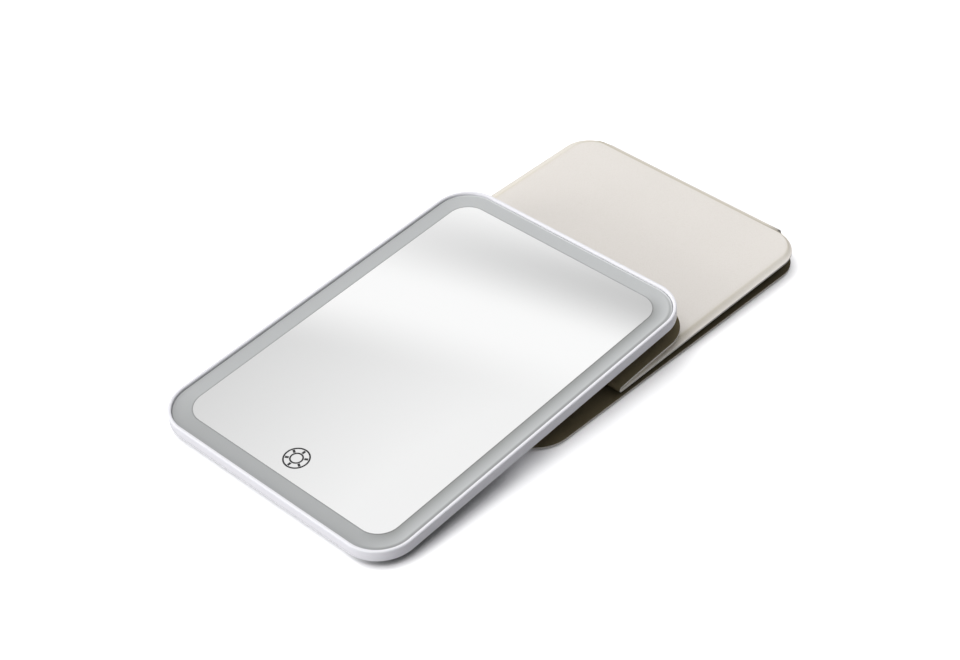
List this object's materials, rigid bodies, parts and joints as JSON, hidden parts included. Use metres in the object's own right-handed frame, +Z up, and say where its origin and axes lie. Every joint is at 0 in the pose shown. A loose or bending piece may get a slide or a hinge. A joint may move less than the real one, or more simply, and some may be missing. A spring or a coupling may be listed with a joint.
{
  "type": "lighted travel mirror",
  "caption": "Tablet-shaped travel mirror with a frosted light band and a touch symbol, lying on a folded imitation-leather folio that lifts it as an easel stand.",
  "frame": {"origin": "middle of the part's overall length and width, on the table that the flap and the mirror's foot rest on", "axes": "+Z up from the table, +Y along the mirror from its touch symbol end towards the folio's spine, +X to the right"},
  "size_m": [0.168, 0.3516, 0.0308],
  "materials": {
    "rim_plastic": "satin moulded",
    "frosted_band": "frosted",
    "silvered_glass": "polished",
    "symbol_print": "screen print",
    "tray_plastic": "moulded",
    "white_film": "film",
    "circuit_board": "solder mask",
    "led_package": "moulded",
    "flat_cable": "film",
    "chip_plastic": "moulded",
    "port_steel": "drawn shell",
    "battery_foil": "pouch foil",
    "foam_tape": "foam",
    "lead_sleeve": "sleeve",
    "magnet_plating": "nickel plated",
    "rear_plastic": "fine spark texture",
    "screw_steel": "plain",
    "folio_skin": "smooth imitation leather",
    "folio_board": "grey board",
    "folio_lining": "soft imitation leather"
  },
  "bodies": {
    "front_flap": {"flap_skin": "folio_skin", "flap_board": "folio_board", "flap_lining": "folio_lining", "flap_magnets": "magnet_plating", "spine_skin": "folio_skin", "spine_lining": "folio_lining"},
    "lower_back": {"lower_back_skin": "folio_skin", "lower_back_board": "folio_board", "lower_back_lining": "folio_lining", "lower_back_magnets": "magnet_plating", "crease_skin": "folio_skin", "crease_lining": "folio_lining"},
    "mirror_unit": {"front_frame": "rim_plastic", "light_diffuser": "frosted_band", "mirror_plate": "silvered_glass", "touch_icon": "symbol_print", "inner_tray": "tray_plastic", "reflector_sheet": "white_film", "led_strip": "circuit_board", "leds": "led_package", "led_tail": "flat_cable", "touch_sensor_board": "circuit_board", "touch_ribbon": "flat_cable", "main_board": "circuit_board", "control_chips": "chip_plastic", "usb_port": "port_steel", "battery_cell": "battery_foil", "battery_tape": "foam_tape", "battery_leads": "lead_sleeve", "tray_magnets": "magnet_plating", "rear_cover": "rear_plastic", "rear_screws": "screw_steel", "fixing_pad": "foam_tape", "upper_back_skin": "folio_skin", "upper_back_board": "folio_board", "upper_back_lining": "folio_lining"}
  },
  "joints": [
    {"name": "spine_fold", "type": "hinge", "parent": "front_flap", "child": "lower_back", "pos_m": [0, 0.1709, 0.00595], "axis": [-1, 0, 0], "range_deg": [0, 60], "deforming": ["spine_skin", "spine_lining"]},
    {"name": "crease_fold", "type": "hinge", "parent": "lower_back", "child": "mirror_unit", "pos_m": [0, 0.00361, 0.007], "axis": [1, 0, 0], "range_deg": [0, 115], "deforming": ["crease_skin", "crease_lining"]}
  ],
  "couplings": [
    {"joint": "crease_fold", "follows": "spine_fold", "ratio": 1.91}
  ]
}
